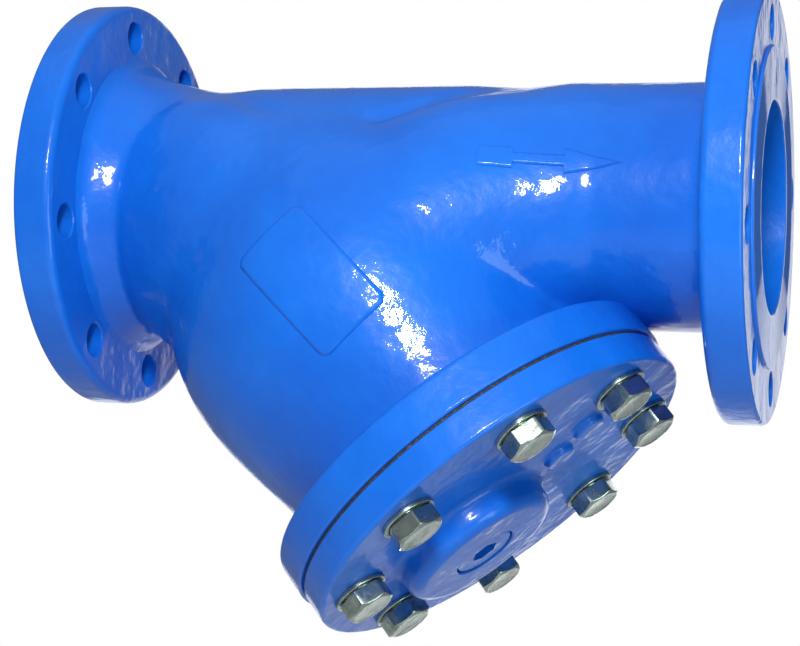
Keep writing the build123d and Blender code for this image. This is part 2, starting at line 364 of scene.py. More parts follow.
def makeStainless():
    material, tree, shader, place = startMaterial("stainlessSheet")
    turn = tree.nodes.new("ShaderNodeMapping")
    turn.inputs["Rotation"].default_value = (0, math.atan2(-branchDir[2], branchDir[0]), 0)
    turn.inputs["Scale"].default_value = (0.05, 1, 1)
    tree.links.new(place, turn.inputs["Vector"])
    rolled = useGroup(tree, grainGroup, turn.outputs["Vector"], Coarse=900.0, Fine=3000.0, Share=0.5)
    tone = useGroup(tree, mottleGroup, place, Scale=40.0, Low=0.4, High=0.65)["Mask"]
    tree.links.new(blendNode(tree, tone, stainless["light"], stainless["dull"]), shader.inputs["Base Color"])
    tree.links.new(scaled(tree, rolled["Mask"], *stainless["gloss"]), shader.inputs["Roughness"])
    tree.links.new(bumpNode(tree, rolled["Height"], 0.2, 0.0001), shader.inputs["Normal"])
    shader.inputs["Metallic"].default_value = 1.0
    return material


sheetGasket = {"dark": (0.022, 0.024, 0.026, 1), "fleck": (0.085, 0.085, 0.08, 1)}


def makeGasketSheet():
    material, tree, shader, place = startMaterial("gasketSheet")
    fleck = useGroup(tree, mottleGroup, place, Scale=700.0, Low=0.52, High=0.62)["Mask"]
    grain = useGroup(tree, grainGroup, place, Coarse=300.0, Fine=1500.0, Share=0.8)
    colour = blendNode(tree, fleck, sheetGasket["dark"], sheetGasket["fleck"])
    tree.links.new(colour, shader.inputs["Base Color"])
    tree.links.new(scaled(tree, grain["Mask"], 0.7, 0.95), shader.inputs["Roughness"])
    tree.links.new(bumpNode(tree, grain["Height"], 0.5, 0.0003), shader.inputs["Normal"])
    return material


blueEpoxy, zincPlate, stainlessSheet, gasketSheet = makeEpoxy(), makeZinc(), makeStainless(), makeGasketSheet()
print("materials ready")

# ---- the cast body

run = {
    "neck": 82.5 * mm, "bore": 70.15 * mm, "wall": 12.5 * mm, "flangeBack": 27 * mm, "outletBack": 449 * mm,
    "inletFlare": (19 * mm, 75 * mm), "inletFillet": 7 * mm, "outletFillet": 16 * mm, "cornerBlend": 2.2 * mm,
    "inletPlate": 107.6 * mm, "outletPlate": 104 * mm, "plateSink": 0.6 * mm, "intoPlate": 19 * mm,
    "start": 6 * mm, "flarePower": 2.6, "flareStart": 10 * mm, "valleyEnds": (60 * mm, 345 * mm),
    "valleyFade": 30 * mm, "innerBlend": 5 * mm,
    "valleyDepth": 2.6 * mm, "valleyWidth": 3 * mm,
}
barrelShape = {
    "along": (-78, -57, 4, 84, 150, 188, 300), "radius": (0, 52.4, 100.9, 131, 126, 118, 118),
    "flangeBackS": 218.2 * mm, "fillet": 9 * mm, "blend": 6 * mm, "plate": 134 * mm, "plateSink": 0.5 * mm,
    "cutReach": 138 * mm, "throatAlong": (-60, 24, 92, 205, 300), "throatRadius": (90, 97, 121, 95.15, 95.15),
}
ductShape = {
    "inlet": ((32, 0, 82.5), (73, -14, 95.5), (120, -32, 108), (185, -75, 120)),
    "outlet": ((185, -75, 120), (266, -40, 114), (328, -12, 93.5), (378, 0, 82.5)),
    "sink": 4 * mm, "sinkLength": 26 * mm,
}
seat = {
    "topS": 10 * mm, "bottomS": 24 * mm, "recessS": 18 * mm, "bore": 68 * mm, "recess": 78.4 * mm,
    "wayHalf": 20 * mm, "recessHalf": 10 * mm, "edge": 3 * mm,
}


def smoothThrough(xs, ys, x):
    # natural cubic curve through the given places, worked out for whole arrays
    xs, ys = np.asarray(xs, float), np.asarray(ys, float)
    n, h = len(xs), np.diff(xs)
    m = np.eye(n)
    rhs = np.zeros(n)
    for k in range(1, n - 1):
        m[k, k - 1:k + 2] = h[k - 1], 2 * (h[k - 1] + h[k]), h[k]
        rhs[k] = 6 * ((ys[k + 1] - ys[k]) / h[k] - (ys[k] - ys[k - 1]) / h[k - 1])
    bend = np.linalg.solve(m, rhs)
    x = np.clip(x, xs[0], xs[-1])
    k = np.clip(np.searchsorted(xs, x) - 1, 0, n - 2)
    a, b = (xs[k + 1] - x) / h[k], (x - xs[k]) / h[k]
    return a * ys[k] + b * ys[k + 1] + ((a**3 - a) * bend[k] + (b**3 - b) * bend[k + 1]) * h[k] ** 2 / 6


def least(a, b, rounding):
    # smaller of two fields, with the valley between them rounded
    h = np.maximum(rounding - np.abs(a - b), 0) / rounding
    return np.minimum(a, b) - h * h * rounding / 4


def most(a, b, rounding):
    return -least(-a, -b, rounding)


def ductField(p, side, wall):
    # distance to a duct whose round section changes centre and radius along X; towards the
    # flange it sinks under the neck, so that the neck alone is left there
    xs, zs, rs = np.array(ductShape[side]).T * mm
    x = p[..., 0]
    z, r = smoothThrough(xs, zs, x), smoothThrough(xs, rs, x) - wall
    toNeck = x - xs[0] if side == "inlet" else xs[-1] - x
    r = r - ductShape["sink"] * np.clip(1 - toNeck / ductShape["sinkLength"], 0, 1) ** 2
    away = np.hypot(p[..., 1], p[..., 2] - z) - r
    return np.maximum(away * 0.93, -toNeck)


def bothDucts(p):
    # the two share one round section, where they meet in a shallow crease
    middle = ductShape["outlet"][0][0] * mm
    return np.where(p[..., 0] < middle, ductField(p, "inlet", 0), ductField(p, "outlet", 0))


def barrelField(p):
    # (rho^2 - R(s)^2) over the length of its slope, which is the distance close to the surface
    up, side, along = branchFrame(p)
    xs, rs = np.array(barrelShape["along"]) * mm, np.array(barrelShape["radius"]) * mm
    rho = np.hypot(up, side)
    squared = smoothThrough(xs, rs**2, along)
    slope = (smoothThrough(xs, rs**2, along + 1e-4) - squared) / 1e-4
    value = (rho**2 - squared) / np.sqrt(4 * rho**2 + slope**2 + 1e-6)
    return np.maximum(value, np.maximum(xs[0] - along, along - (barrelShape["flangeBackS"] + 15 * mm)))


def outerField(p):
    x, across = p[..., 0], np.hypot(p[..., 1], p[..., 2])
    _, _, along = branchFrame(p)
    rise, reach = run["inletFlare"]
    flared = rise * np.clip(1 - (x - run["flangeBack"]) / reach, 0, 1) ** run["flarePower"]
    body = across - run["neck"] - flared * (x > run["flangeBack"] - run["flareStart"])
    ducts = bothDucts(p)
    valley = run["valleyDepth"] * np.exp(-(((body - ducts) / run["valleyWidth"]) ** 2))
    first, last = run["valleyEnds"]
    beside = (np.clip((x - first) / run["valleyFade"], 0, 1)
              * np.clip((last - x) / run["valleyFade"], 0, 1))
    body = least(body, ducts, run["cornerBlend"]) + valley * beside
    body = least(body, barrelField(p), barrelShape["blend"])
    inletPlate = np.maximum(x - run["flangeBack"] + run["plateSink"], across - run["inletPlate"])
    outletPlate = np.maximum(run["outletBack"] + run["plateSink"] - x, across - run["outletPlate"])
    body = least(least(body, inletPlate, run["inletFillet"]), outletPlate, run["outletFillet"])
    rho = np.hypot(*branchFrame(p)[:2])
    past = along - barrelShape["flangeBackS"]
    branchPlate = np.maximum(barrelShape["plateSink"] - past, rho - barrelShape["plate"])
    body = least(body, branchPlate, barrelShape["fillet"])
    ends = np.maximum(run["start"] - x, x - (run["outletBack"] + run["intoPlate"]))
    beyond = np.minimum(past - run["intoPlate"], barrelShape["cutReach"] - rho)
    return np.maximum(body, np.maximum(ends, beyond))


def hollowField(p):
    across = np.hypot(p[..., 1], p[..., 2]) - run["bore"]
    up, side, along = branchFrame(p)
    rho = np.hypot(up, side)
    middle = ductShape["outlet"][0][0] * mm
    inletSide = np.maximum(ductField(p, "inlet", run["wall"]), p[..., 0] - middle)
    outletSide = np.maximum(ductField(p, "outlet", run["wall"]), middle - p[..., 0])
    blend, edge = run["innerBlend"], seat["edge"]
    upper = most(least(across, inletSide, blend), along - seat["topS"], edge)
    throat = smoothThrough(
        np.array(barrelShape["throatAlong"]) * mm, np.array(barrelShape["throatRadius"]) * mm, along)
    chamber = (rho - throat) * 0.9
    lower = least(across, outletSide, blend)
    lower = most(least(lower, chamber, blend), seat["bottomS"] - along, edge)
    way = np.maximum(rho - seat["bore"], np.abs(along - seat["topS"]) - seat["wayHalf"])
    recess = np.maximum(rho - seat["recess"],
                        np.abs(along - seat["recessS"] - seat["recessHalf"]) - seat["recessHalf"])
    return np.minimum(np.minimum(upper, lower), np.minimum(way, recess))


def castField(p):
    return np.maximum(outerField(p), -hollowField(p))


def fieldSlope(field, p, step=0.15 * mm):
    shifts = np.eye(3) * step
    return np.stack([field(p + s) - field(p - s) for s in shifts], -1) / (2 * step)


def netFromField(field, low, high, size):
    # one point per grid cell that the surface crosses, at the mean of its crossings, then
    # moved onto the surface down the field's slope; one quad per grid edge that it crosses
    axes = [np.arange(a, b + size, size) for a, b in zip(low, high)]
    f = np.stack([field(np.stack(np.meshgrid([x], axes[1], axes[2], indexing="ij"), -1))[0] for x in axes[0]])
    inside = f < 0
    cells = tuple(n - 1 for n in f.shape)
    total, count = np.zeros(cells + (3,)), np.zeros(cells)
    for axis in range(3):
        others = [k for k in range(3) if k != axis]
        for da in (0, 1):
            for db in (0, 1):
                start = [slice(0, c) for c in cells]
                start[others[0]] = slice(da, da + cells[others[0]])
                start[others[1]] = slice(db, db + cells[others[1]])
                end = list(start)
                start[axis], end[axis] = slice(0, cells[axis]), slice(1, cells[axis] + 1)
                f0, f1 = f[tuple(start)], f[tuple(end)]
                crossed = (f0 < 0) != (f1 < 0)
                part = np.where(crossed, f0 / np.where(crossed, f0 - f1, 1), 0)
                offset = np.zeros(3)
                offset[others[0]], offset[others[1]] = da, db
                total += crossed[..., None] * offset
                total[..., axis] += part
                count += crossed
    used = count > 0
    index = -np.ones(cells, int)
    index[used] = np.arange(used.sum())
    where = np.argwhere(used)
    points = (where + total[used] / count[used][:, None]) * size + np.array(low)
    faces = []
    for axis in range(3):
        a, b = [k for k in range(3) if k != axis]
        shape = [slice(None)] * 3
        shape[axis] = slice(0, cells[axis])
        nextShape = list(shape)
        nextShape[axis] = slice(1, cells[axis] + 1)
        edge = inside[tuple(shape)] != inside[tuple(nextShape)]
        spots = np.argwhere(edge)
        keep = (spots[:, a] > 0) & (spots[:, b] > 0) & (spots[:, a] < cells[a]) & (spots[:, b] < cells[b])
        spots = spots[keep]
        quad = []
        for da, db in ((0, 0), (1, 0), (1, 1), (0, 1)):
            cell = spots.copy()
            cell[:, a] -= 1 - da
            cell[:, b] -= 1 - db
            quad.append(index[tuple(cell.T)])
        quad = np.stack(quad, 1)
        flip = inside[tuple(spots.T)] == (axis == 1)
        quad[flip] = quad[flip][:, ::-1]
        faces.append(quad)
    faces = np.concatenate(faces)
    faces = faces[(faces >= 0).all(1)]
    for _ in range(4):
        slope = fieldSlope(field, points)
        move = field(points)[:, None] * slope / ((slope**2).sum(-1, keepdims=True) + 0.05)
        longest = np.linalg.norm(move, axis=1, keepdims=True)
        points = points - move * np.minimum(1, 0.5 * size / (longest + 1e-9))
    return points, faces


bodyGrid = 3.3 * mm
castPoints, castFaces = netFromField(
    castField, (0.0, -140 * mm, -250 * mm), (476 * mm, 140 * mm, 112 * mm), bodyGrid
)
meshPiece("bodyCasting", castPoints, castFaces, "housing", ["body"], blueEpoxy, angle=50)
print("casting", len(castPoints), "points", len(castFaces), "quads")

# ---- the pipe flanges of the body

pipeFlange = {
    "radius": 142.5 * mm, "raisedRadius": 105.5 * mm, "raised": 2 * mm, "bore": 70 * mm, "boltCircle": 120 * mm,
    "hole": 11.5 * mm, "count": 8, "rimRound": 2.6 * mm, "backRound": 5.5 * mm, "groovePitch": 0.8 * mm,
    "grooveDepth": 0.12 * mm, "inNeck": 78 * mm,
}


def flangeOutline():
    # bore, grooved raised face, plate and rim as radius against depth behind the raised face
    f = pipeFlange
    thick = f["raised"] + run["flangeBack"]
    corners = [(f["bore"], thick + 1 * mm, 0), (f["bore"], 0, 1.0 * mm)]
    for r in np.arange(f["bore"] + 3 * mm, f["raisedRadius"] - 2 * mm, f["groovePitch"]):
        corners += [(r, 0, 0), (r + 0.5 * f["groovePitch"], f["grooveDepth"], 0)]
    corners += [
        (f["raisedRadius"], 0, 0.8 * mm), (f["raisedRadius"], f["raised"], 0.8 * mm),
        (f["radius"], f["raised"], f["rimRound"]), (f["radius"], thick, f["backRound"]),
        (f["inNeck"], thick, 0), (f["inNeck"] - 1 * mm, thick + 1 * mm, 0),
    ]
    return corners


def addPipeFlange(name, faceX, inward):
    f = pipeFlange
    axis = np.array([inward, 0, 0])
    origin = np.array([faceX, 0, 0])
    tools, thick = [], f["raised"] + run["flangeBack"]
    for k in range(f["count"]):
        a = (k + 0.5) * 2 * math.pi / f["count"]
        centre = origin + f["boltCircle"] * np.array([0, math.cos(a), math.sin(a)])
        low, high, edge = f["raised"], thick, 0.9 * mm
        tools.append(cutter(
            [(0, low - 5 * mm), (f["hole"] + edge, low - 5 * mm), (f["hole"] + edge, low - 0.01 * mm),
             (f["hole"], low + edge), (f["hole"], high - edge), (f["hole"] + edge, high + 0.01 * mm),
             (f["hole"] + edge, high + 5 * mm), (0, high + 5 * mm)], centre, axis, [0, 0, 1], 48))
    return turnedPiece(name, flangeOutline(), origin, axis, [0, 0, 1], "housing", ["body"],
                       blueEpoxy, 192, 4, tools)


bodyLow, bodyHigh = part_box("body")
addPipeFlange("inletFlange", bodyLow.x, 1)
addPipeFlange("outletFlange", bodyHigh.x, -1)
print("pipe flanges ready")

# ---- branch flange, gasket, cover

closure = {
    "flangeRadius": 143.5 * mm, "flangeThick": 25.5 * mm, "gasket": 2 * mm, "coverRadius": 141.5 * mm,
    "coverThick": 21 * mm, "mouth": 95 * mm, "tapped": 10 * mm, "tappedDepth": 23.5 * mm, "clearHole": 11 * mm,
    "pitch": 2.5 * mm, "drainOffset": 30 * mm, "bossRadius": 55 * mm, "bossHeight": 20 * mm,
    "bossRound": 9 * mm,
    "bossFillet": 6 * mm, "restRadius": 73.5 * mm, "restWidth": 12 * mm, "restDepth": 13.7 * mm,
}
coverInS = coverTopS - closure["coverThick"]
gasketInS = coverInS - closure["gasket"]
boltPlaces = [branchFrame(spot)[:2] for spot in boltSpots]


def threadedOutline(radius, depth, pitch, toothDepth):
    # zigzag of crest and root down a hole or a shank, with a lead-in at the mouth
    turns = int(depth / pitch)
    h = np.repeat(np.arange(turns), 2) * pitch + np.tile([0.15, 0.65], turns) * pitch
    r = radius - np.tile([0, toothDepth], turns)
    teeth = [(a, -b) for a, b in zip(r[::-1], h[::-1])]
    return [(0, -depth)] + teeth + [(radius + 0.8 * mm, 0.4 * mm), (0, 0.4 * mm)]


def addBranchFlange():
    c = closure
    corners = [
        (c["mouth"], -c["flangeThick"] - 1 * mm, 0), (c["mouth"], 0, 1.2 * mm),
        (c["flangeRadius"], 0, 1.6 * mm),
        (c["flangeRadius"], -c["flangeThick"], 3.5 * mm), (112 * mm, -c["flangeThick"], 0),
        (110 * mm, -c["flangeThick"] - 1 * mm, 0),
    ]
    outline = threadedOutline(c["tapped"], c["tappedDepth"], c["pitch"], 1.2 * mm)
    tools = [cutter(outline, onBranch(u, w, gasketInS), branchDir, branchUp, 28) for u, w in boltPlaces]
    turnedPiece("branchFlange", corners, onBranch(0, 0, gasketInS), branchDir, branchUp, "housing", ["body"],
                blueEpoxy, 192, 4, tools)


def addGasket():
    c = closure
    outer = c["coverRadius"] - 1.5 * mm
    corners = [(c["mouth"], 0, 0.3 * mm), (outer, 0, 0.4 * mm), (outer, c["gasket"], 0.4 * mm),
               (c["mouth"], c["gasket"], 0.3 * mm)]
    tools = [cutter([(0, -5 * mm), (c["clearHole"], -5 * mm), (c["clearHole"], 5 * mm), (0, 5 * mm)],
                    onBranch(u, w, gasketInS), branchDir, branchUp, 32) for u, w in boltPlaces]
    turnedPiece("coverGasket", corners, onBranch(0, 0, gasketInS), branchDir, branchUp, "cover",
                ["cover_gasket"], gasketSheet, 160, 2, tools)


def coverRings():
    # the cover as a stack of circles: radius, height and how far the centre lies towards the drain boss
    c = closure
    off, top, r = -c["drainOffset"], c["coverThick"], c["bossRadius"]
    rings = [(0, top + c["bossHeight"], off), (r * 0.5, top + c["bossHeight"], off)]
    for a in np.linspace(0, math.pi / 2, 9):
        rings.append((r - c["bossRound"] * (1 - math.sin(a)),
                      top + c["bossHeight"] - c["bossRound"] * (1 - math.cos(a)), off))
    f = c["bossFillet"]
    for a in np.linspace(0, math.pi / 2, 7):
        rings.append((r + 0.35 * mm + f * (1 - math.cos(a)), top + f * (1 - math.sin(a)), off))
    foot, rim = rings[-1][0], c["coverRadius"]
    for t in np.linspace(0, 1, 9)[1:-1]:
        rings.append((foot + (rim - 3.5 * mm - foot) * t, top, off * (1 - t)))
    for a in np.linspace(0, math.pi / 2, 7):
        rings.append((rim - 3 * mm * (1 - math.sin(a)), top - 3 * mm * (1 - math.cos(a)), 0))
    for a in np.linspace(0, math.pi / 2, 4):
        rings.append((rim - 0.8 * mm * (1 - math.cos(a)), 0.8 * mm * (1 - math.sin(a)), 0))
    rest, width, depth, edge = c["restRadius"], c["restWidth"], c["restDepth"], 1.0 * mm
    rings += [(rest + 2 * mm, 0, 0), (rest, -2 * mm, 0), (rest, edge - depth, 0), (rest - edge, -depth, 0),
              (rest - width + edge, -depth, 0), (rest - width, edge - depth, 0), (rest - width, -2 * mm, 0),
              (rest - width - 2 * mm, 0, 0), (30 * mm, 0, 0), (0, 0, 0)]
    return np.array(rings)


drain = {"recess": 22 * mm, "depth": 9 * mm, "thread": 16.65 * mm}


def addCover():
    rings, c = coverRings(), closure
    origin = onBranch(0, 0, coverInS)
    verts, faces = turned(rings[:, :2], origin, branchDir, branchUp, 256, shift=rings[:, 2], closed=False)
    piece = fromArrays("coverPlate", verts, faces)
    weld(piece)
    thick = c["coverThick"]
    low, high = -5 * mm, thick + 5 * mm
    hole = [(0, low), (c["clearHole"], low), (c["clearHole"], high), (0, high)]
    tools = [cutter(hole, onBranch(u, w, coverInS), branchDir, branchUp, 48) for u, w in boltPlaces]
    top = thick + c["bossHeight"]
    wide, seatAt = drain["recess"] + 0.9 * mm, top - drain["depth"]
    bore = [(0, -30 * mm), (drain["thread"], -30 * mm), (drain["thread"], seatAt), (drain["recess"], seatAt),
            (drain["recess"], top - 0.8 * mm), (wide, top + 0.1 * mm), (wide, top + 5 * mm), (0, top + 5 * mm)]
    tools.append(cutter(bore, onBranch(-c["drainOffset"], 0, coverInS), branchDir, branchUp, 96))
    cutAway(piece, tools)
    finishPiece(piece, "cover", ["cover"], blueEpoxy, 40)


coverMarks = {"radius": 11 * mm, "height": 4 * mm, "places": ((74 * mm, 18 * mm), (47 * mm, 6 * mm))}


def addCoverMarks():
    m = coverMarks
    for k, (up, side) in enumerate(m["places"], 1):
        corners = [(0, m["height"], 0), (m["radius"] - 1.0 * mm, m["height"], 2.6 * mm),
                   (m["radius"] + 0.8 * mm, 0, 1.6 * mm), (m["radius"] + 4 * mm, -0.4 * mm, 0),
                   (0, -0.4 * mm, 0)]
        turnedPiece(f"coverMark{k}", corners, onBranch(up, side, coverTopS), branchDir, branchUp, "cover",
                    ["cover"], blueEpoxy, 64, 6, closed=False)


addBranchFlange()
addGasket()
addCover()
addCoverMarks()
print("cover and gasket ready")

# ---- bolts and washers

bolt = {
    "radius": 10 * mm, "length": 48 * mm, "af": 30 * mm, "head": 12.5 * mm, "pitch": 2.5 * mm,
    "tooth": 1.35 * mm,
    "washer": 18.5 * mm, "washerThick": 3 * mm, "washerHole": 10.5 * mm,
    "washerGap": 0.04 * mm, "turnStep": 23,
}


def hexHead(angles, flat, height):
    # hexagon radius at each angle; the top corners are turned down at 30 degrees, so their height
    # falls with the radius past the chamfer circle
    wedge = angles % (math.pi / 3) - math.pi / 6
    full = flat / np.cos(wedge)
    full = np.minimum(full, flat / math.cos(math.pi / 6) - 0.25 * mm)
    circle = 0.95 * flat
    shoulder = height - (full - circle) * math.tan(math.radians(30))
    return full, circle, shoulder


def boltGrid():
    # rows from the head's top centre, down the hexagon, washer face, shank and thread to the tip
    steps = 96
    a = np.arange(steps) * 2 * math.pi / steps
    flat, top, r = bolt["af"] / 2, bolt["head"], bolt["radius"]
    full, circle, shoulder = hexHead(a, flat, top)
    rows = [(0, top - 0.25 * mm), (0.86 * circle, top - 0.25 * mm), (0.9 * circle, top),
            (circle - 0.2 * mm, top), (full - 0.25 * mm, shoulder + 0.1 * mm), (full, shoulder - 0.35 * mm),
            (full, 0.9 * mm), (full - 0.3 * mm, 0.6 * mm), (0.95 * flat, 0.55 * mm), (0.94 * flat, 0),
            (r + 0.8 * mm, 0), (r, -0.8 * mm), (r, -3 * mm)]
    z = np.arange(-3.4 * mm, -bolt["length"] + 2 * mm, -0.42 * mm)
    for h in z:
        phase = (h / bolt["pitch"] + a / (2 * math.pi)) % 1.0
        depth = bolt["tooth"] * np.clip(1.15 - 2.6 * np.abs(phase - 0.5), 0, 1)
        fade = min(1, (-3.4 * mm - h) / (2 * mm))
        rows.append((r - depth * fade, h))
    end = -bolt["length"]
    rows += [(r - 1.5 * mm, end + 0.5 * mm), (r - 2.2 * mm, end), (0, end)]
    radius = np.stack([np.broadcast_to(q[0], a.shape) for q in rows])
    height = np.stack([np.broadcast_to(q[1], a.shape) for q in rows])
    return a, radius, height


def addBolts():
    a, radius, height = boltGrid()
    for k, spot in enumerate(boltSpots, 1):
        origin = spot + branchDir * bolt["washerThick"]
        turn = math.radians(bolt["turnStep"] * k)
        ring = (np.cos(a + turn)[None, :, None] * branchUp + np.sin(a + turn)[None, :, None] * sideDir)
        verts = origin + radius[..., None] * ring + height[..., None] * branchDir
        piece = fromArrays(f"hexBolt{k}", verts, gridFaces(*radius.shape))
        weld(piece)
        finishPiece(piece, f"bolt_{k}", [f"cover_bolt_{k}"], zincPlate, 28)
        w = bolt
        low, high = w["washerGap"], w["washerThick"] - w["washerGap"]
        corners = [(w["washerHole"], low, 0.25 * mm), (w["washer"], low, 0.3 * mm),
                   (w["washer"], high, 0.7 * mm), (w["washerHole"], high, 0.5 * mm)]
        turnedPiece(f"plainWasher{k}", corners, spot, branchDir, branchUp, f"washer_{k}", [f"bolt_washer_{k}"],
                    zincPlate, 96, 4)


addBolts()
print("bolts ready")

# ---- drain plug and its ring

plug = {"collar": 21 * mm, "collarThick": 6 * mm, "below": 1 * mm, "thread": 16.6 * mm, "length": 16 * mm,
        "seal": 2 * mm, "sealRadius": 20 * mm, "socket": 8.5 * mm, "socketDepth": 10 * mm, "pitch": 2.309 * mm}


def addPlug():
    p = plug
    top = coverTopS + closure["bossHeight"] - p["below"]
    origin = onBranch(-closure["drainOffset"], 0, top - p["collarThick"])
    corners = [(0, p["collarThick"], 0), (p["collar"], p["collarThick"], 1.2 * mm), (p["collar"], 0, 0.5 * mm),
               (p["thread"], 0, 0)]
    for h in np.arange(p["seal"], p["seal"] + p["length"] - p["pitch"], p["pitch"]):
        corners += [(p["thread"], -h - 0.1 * p["pitch"], 0),
                    (p["thread"] - 1.1 * mm, -h - 0.55 * p["pitch"], 0)]
    end = -p["seal"] - p["length"]
    corners += [(p["thread"] - 1.4 * mm, end + 0.3 * mm, 0), (p["thread"] - 1.8 * mm, end, 0), (0, end, 0)]
    hexCorner = p["socket"] / math.cos(math.pi / 6)
    floor, mouth = p["collarThick"] - p["socketDepth"], p["collarThick"] + 3 * mm
    socket = [(0, floor - 1.5 * mm), (hexCorner * 0.8, floor), (hexCorner, floor), (hexCorner, mouth),
              (0, mouth)]
    tool = cutter(socket, origin, branchDir, branchUp, 6)
    turnedPiece("drainPlug", corners, origin, branchDir, branchUp, "plug", ["drain_plug"],
                blueEpoxy, 96, 4, [tool], closed=False)
    inner, outer = p["thread"] + 0.2 * mm, p["sealRadius"]
    ring = [(inner, -p["seal"], 0.3 * mm), (outer, -p["seal"], 0.5 * mm), (outer, 0, 0.5 * mm),
            (inner, 0, 0.3 * mm)]
    turnedPiece("drainSeal", ring, origin, branchDir, branchUp, "seal", ["drain_seal"],
                gasketSheet, 96, 3)


addPlug()

# ---- the screen

screen = {"radius": 75 * mm, "sheet": 1.5 * mm, "topS": 18 * mm, "ringWidth": 3 * mm, "ringHeight": 12 * mm,
          "endThick": 3 * mm, "columns": 84, "rows": 38, "hole": 1.75 * mm}


def perforatedSheet(low, high):
    # each cell is a square frame round an eight-sided hole; the next row is moved half a cell,
    # where corners meet side middles, so the sheet closes without gaps
    s = screen
    width, tall = 2 * math.pi * s["radius"] / s["columns"], (high - low) / s["rows"]
    corner = np.array([(1, 0), (1, 1), (0, 1), (-1, 1), (-1, 0), (-1, -1), (0, -1), (1, -1)]) / 2
    eight = np.arange(8) * math.pi / 4
    hole = np.stack([np.cos(eight), np.sin(eight)], -1) * s["hole"]
    cell = np.concatenate([corner * (width, tall), hole])
    col, row = np.meshgrid(np.arange(s["columns"]), np.arange(s["rows"]), indexing="ij")
    middle = np.stack([(col + 0.5 * (row % 2)) * width, low + (row + 0.5) * tall], -1).reshape(-1, 1, 2)
    flat = middle + cell
    k = np.arange(8)
    n = (k + 1) % 8
    front = np.stack([k, n, n + 8, k + 8], -1)
    count = len(middle)
    base = (np.arange(count) * 32)[:, None, None]
    layers = []
    for radius in (s["radius"], s["radius"] - s["sheet"]):
        angle = flat[..., 0] / s["radius"]
        layers.append(onBranch(radius * np.cos(angle), radius * np.sin(angle), flat[..., 1]))
    verts = np.concatenate(layers, 1).reshape(-1, 3)
    walls = np.stack([k + 8, n + 8, n + 24, k + 24], -1)
    faces = np.concatenate([base + front, base + front[:, ::-1] + 16, base + walls], 1).reshape(-1, 4)
    return verts, faces


def addScreen():
    s = screen
    bottom = coverInS - closure["restDepth"]
    low, high = s["topS"] + 6 * mm, bottom - 6 * mm
    verts, faces = perforatedSheet(low, high)
    rimVerts, rimFaces = [], []
    a = np.arange(2 * s["columns"]) * math.pi / s["columns"]
    for start, end in ((low, s["topS"]), (high, bottom)):
        outline = [(s["radius"], start), (s["radius"], end), (s["radius"] - s["sheet"], end),
                   (s["radius"] - s["sheet"], start)]
        ring = np.stack([onBranch(r * np.cos(a), r * np.sin(a), h) for r, h in outline])
        rimFaces.append(gridFaces(4, len(a)) + len(verts) + sum(len(v) for v in rimVerts))
        rimVerts.append(ring.reshape(-1, 3))
    piece = meshPiece("screenSheet", np.concatenate([verts, *rimVerts]), np.concatenate([faces, *rimFaces]),
                      None, None, stainlessSheet, 0)
    weld(piece)
    finishPiece(piece, "screen", ["screen_tube"], stainlessSheet, 40)
    inner, outer = s["radius"] + 0.05 * mm, s["radius"] + s["ringWidth"]
    for name, node, start in (("screenTopRing", "screen_top_ring", s["topS"]),
                              ("screenBottomRing", "screen_bottom_ring", bottom - s["ringHeight"])):
        corners = [(inner, 0, 0.3 * mm), (outer, 0, 0.8 * mm), (outer, s["ringHeight"], 0.8 * mm),
                   (inner, s["ringHeight"], 0.3 * mm)]
        turnedPiece(name, corners, onBranch(0, 0, start), branchDir, branchUp, "screen", [node],
                    stainlessSheet, 128, 4)
    disc = s["radius"] - s["sheet"] - 0.05 * mm
    corners = [(0, 0, 0), (disc, 0, 0.4 * mm), (disc, s["endThick"], 0.8 * mm), (0, s["endThick"], 0)]
    turnedPiece("screenEndPlate", corners, onBranch(0, 0, bottom - s["endThick"]), branchDir, branchUp,
                "screen", ["screen_end_plate"], stainlessSheet, 128, 4, closed=False)


addScreen()
print("screen ready")

# ---- raised marks on the casting's near side

marks = {
    "padS": 113.5 * mm, "padUp": -4 * mm, "padTurn": 6, "padLong": 45 * mm, "padWide": 28 * mm,
    "padCorner": 8 * mm,
    "padHeight": 1.8 * mm, "arrowX": (303 * mm, 393 * mm), "arrowZ": 3 * mm, "tail": (21 * mm, 7.5 * mm),
    "stem": 4 * mm, "head": (37 * mm, 9 * mm), "arrowHeight": 1.4 * mm,
}


def skinUnder(p):
    # moves points along Y onto the casting's near side
    p = p.copy()
    p[..., 1] = -0.2
    for _ in range(60):
        p[..., 1] += np.clip(outerField(p) * 0.9, -4 * mm, 8 * mm)
    return p


def raisedFromSkin(name, places, height, material):
    # grid of places; a rounded step lifts it off the skin, and a copy under the skin closes it
    skin = skinUnder(places)
    normal = fieldSlope(outerField, skin)
    normal /= np.linalg.norm(normal, axis=-1, keepdims=True)
    rows, cols = skin.shape[:2]
    top = skin + normal * height[..., None]
    under = skin - normal * 1.0 * mm
    verts = np.concatenate([top.reshape(-1, 3), under.reshape(-1, 3)])
    faces = gridFaces(rows, cols, wrapCols=False)
    edge = np.concatenate([np.arange(cols), np.arange(1, rows) * cols + cols - 1,
                           (rows - 1) * cols + np.arange(cols - 2, -1, -1), np.arange(rows - 2, 0, -1) * cols])
    nxt = np.roll(edge, -1)
    side = np.stack([nxt, edge, edge + rows * cols, nxt + rows * cols], -1)
    every = np.concatenate([faces, faces[:, ::-1] + rows * cols, side])
    piece = meshPiece(name, verts, every, None, None, material, 0)
    weld(piece)
    finishPiece(piece, "housing", ["body"], material, 60)
    return piece


def stepUp(t, width):
    # 0 at the edge, 1 past the width, round at both ends
    t = np.clip(t / width, 0, 1)
    return t * t * (3 - 2 * t)


